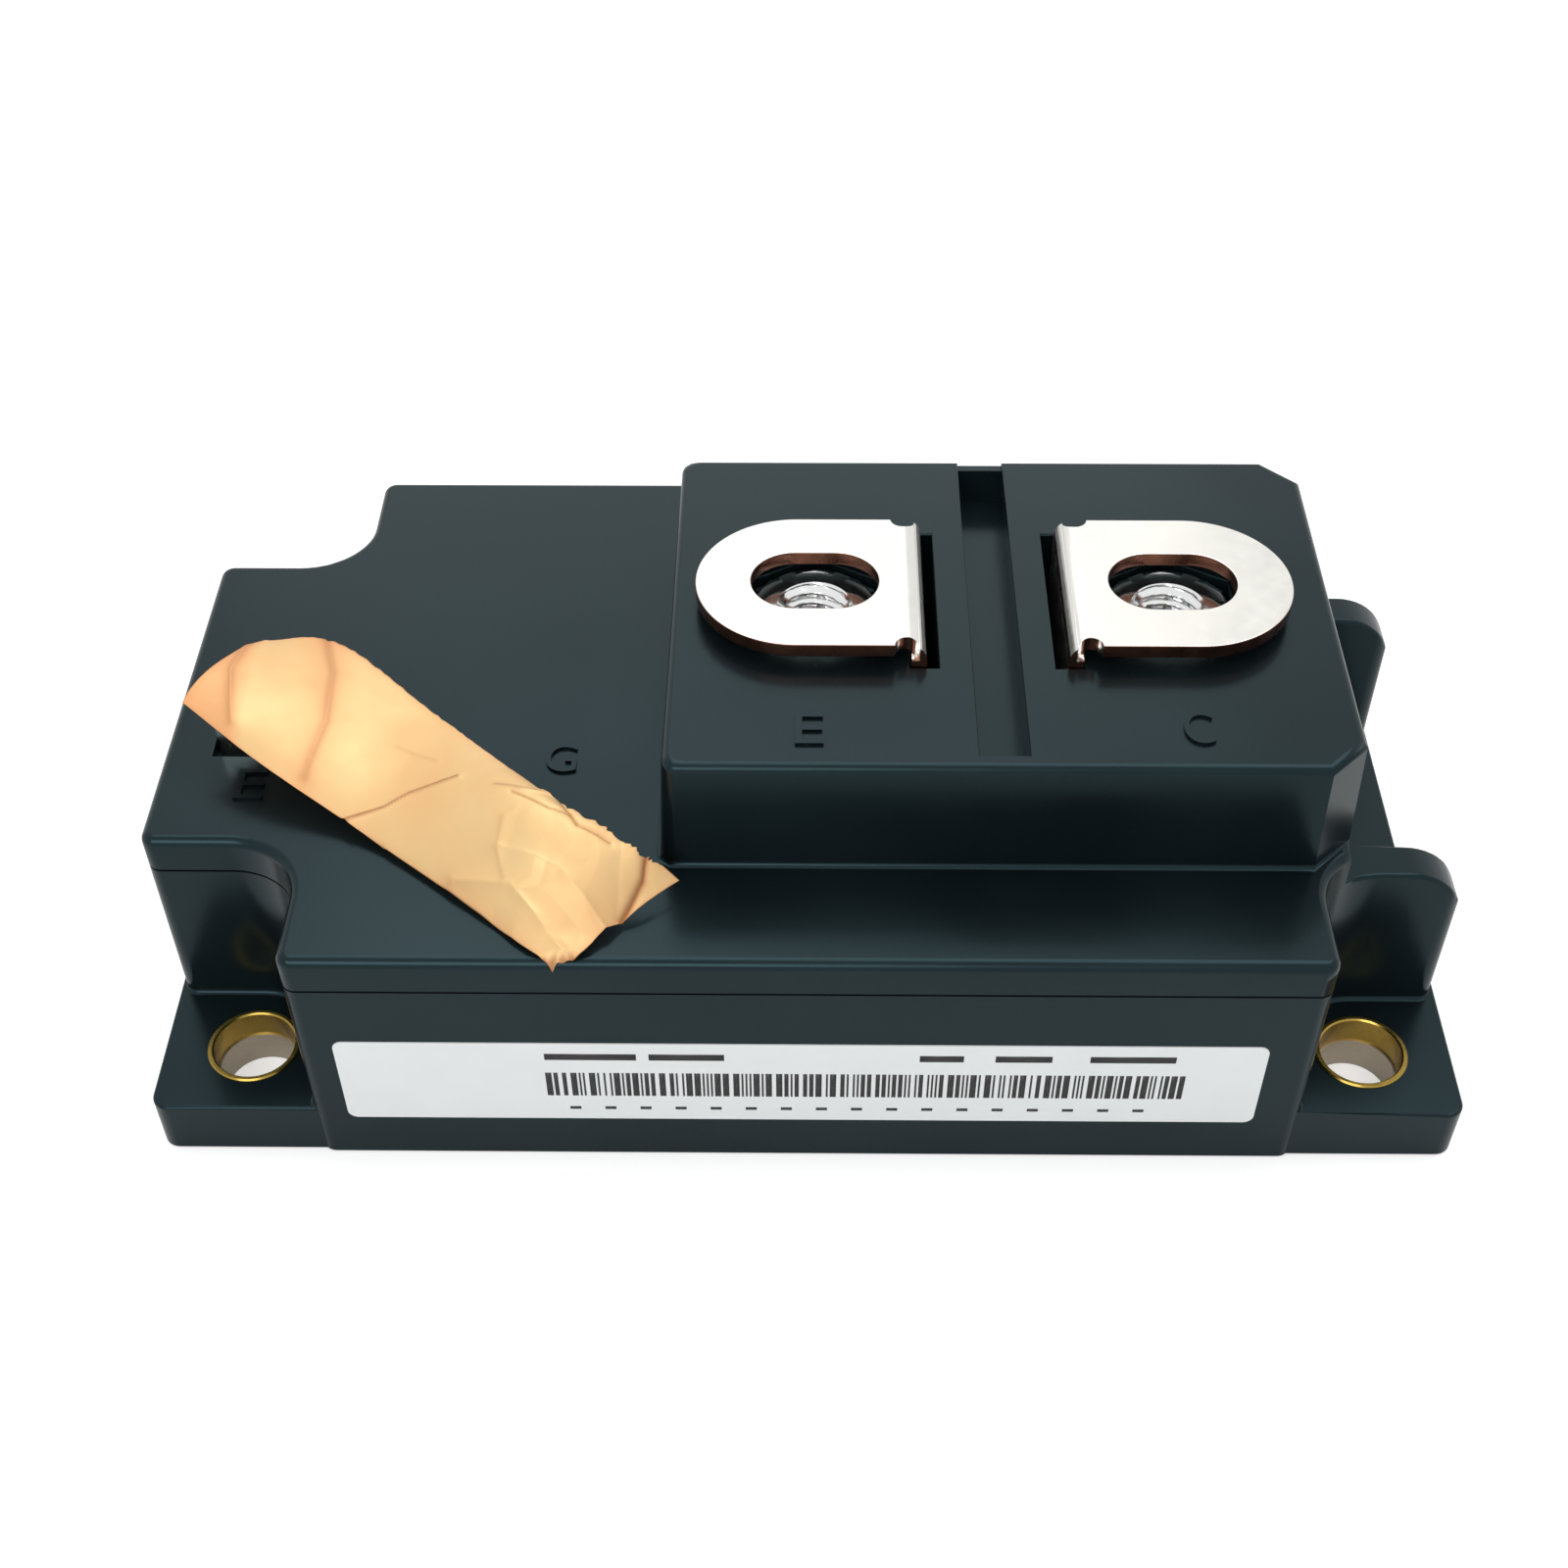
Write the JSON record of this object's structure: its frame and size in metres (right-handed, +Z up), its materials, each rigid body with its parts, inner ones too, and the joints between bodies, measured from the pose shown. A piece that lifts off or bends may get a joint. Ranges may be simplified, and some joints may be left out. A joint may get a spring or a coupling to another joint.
{
  "type": "igbt power module",
  "caption": "Low rectangular power semiconductor module: black plastic case on a metal base plate, raised block with oblong-hole screw terminals, small control tabs bridged by foil.",
  "frame": {"origin": "centre of the footprint, on the underside of the base plate", "axes": "+X along the length, from the control tabs to the collector terminal; +Y towards the rear; +Z up, out of the terminal screws"},
  "size_m": [0.108, 0.0628, 0.036],
  "materials": {
    "black_plastic": "moulded glass-filled thermoplastic, satin to glossy, bluish black",
    "nickel_plate": "copper base plate with dull nickel plating",
    "nickel_terminal": "copper sheet with bright nickel plating, bare copper on cut edges",
    "zinc_nut": "bright zinc plated steel",
    "brass_bush": "yellow passivated bush, satin",
    "label_paper": "white satin label stock with plain black bars",
    "copper_foil": "thin creased copper-coloured foil, bright",
    "copper": "bare copper",
    "white_ceramic": "fired alumina, matte",
    "silicon": "diced silicon with metallised top",
    "aluminium_wire": "bright aluminium wire",
    "gel": "clear soft silicone gel",
    "resistor": "chip resistor, matte"
  },
  "bodies": {
    "root": {"base_plate": "nickel_plate", "case": "black_plastic", "lid": "black_plastic", "bush_front_left": "brass_bush", "bush_front_right": "brass_bush", "bush_rear_left": "brass_bush", "bush_rear_right": "brass_bush", "emitter_terminal": "nickel_terminal", "collector_terminal": "nickel_terminal", "emitter_nut": "zinc_nut", "collector_nut": "zinc_nut", "gate_terminal": "nickel_terminal", "aux_emitter_terminal": "nickel_terminal", "label": "label_paper", "shorting_foil": "copper_foil", "left_bottom_copper": "copper", "right_bottom_copper": "copper", "left_ceramic": "white_ceramic", "right_ceramic": "white_ceramic", "left_top_copper": "copper", "right_top_copper": "copper", "left_igbt_chips": "silicon", "right_igbt_chips": "silicon", "left_diode_chips": "silicon", "right_diode_chips": "silicon", "left_bond_wires": "aluminium_wire", "right_bond_wires": "aluminium_wire", "emitter_strap": "copper", "collector_strap": "copper", "gate_resistors": "resistor", "silicone_gel": "gel"}
  },
  "joints": []
}
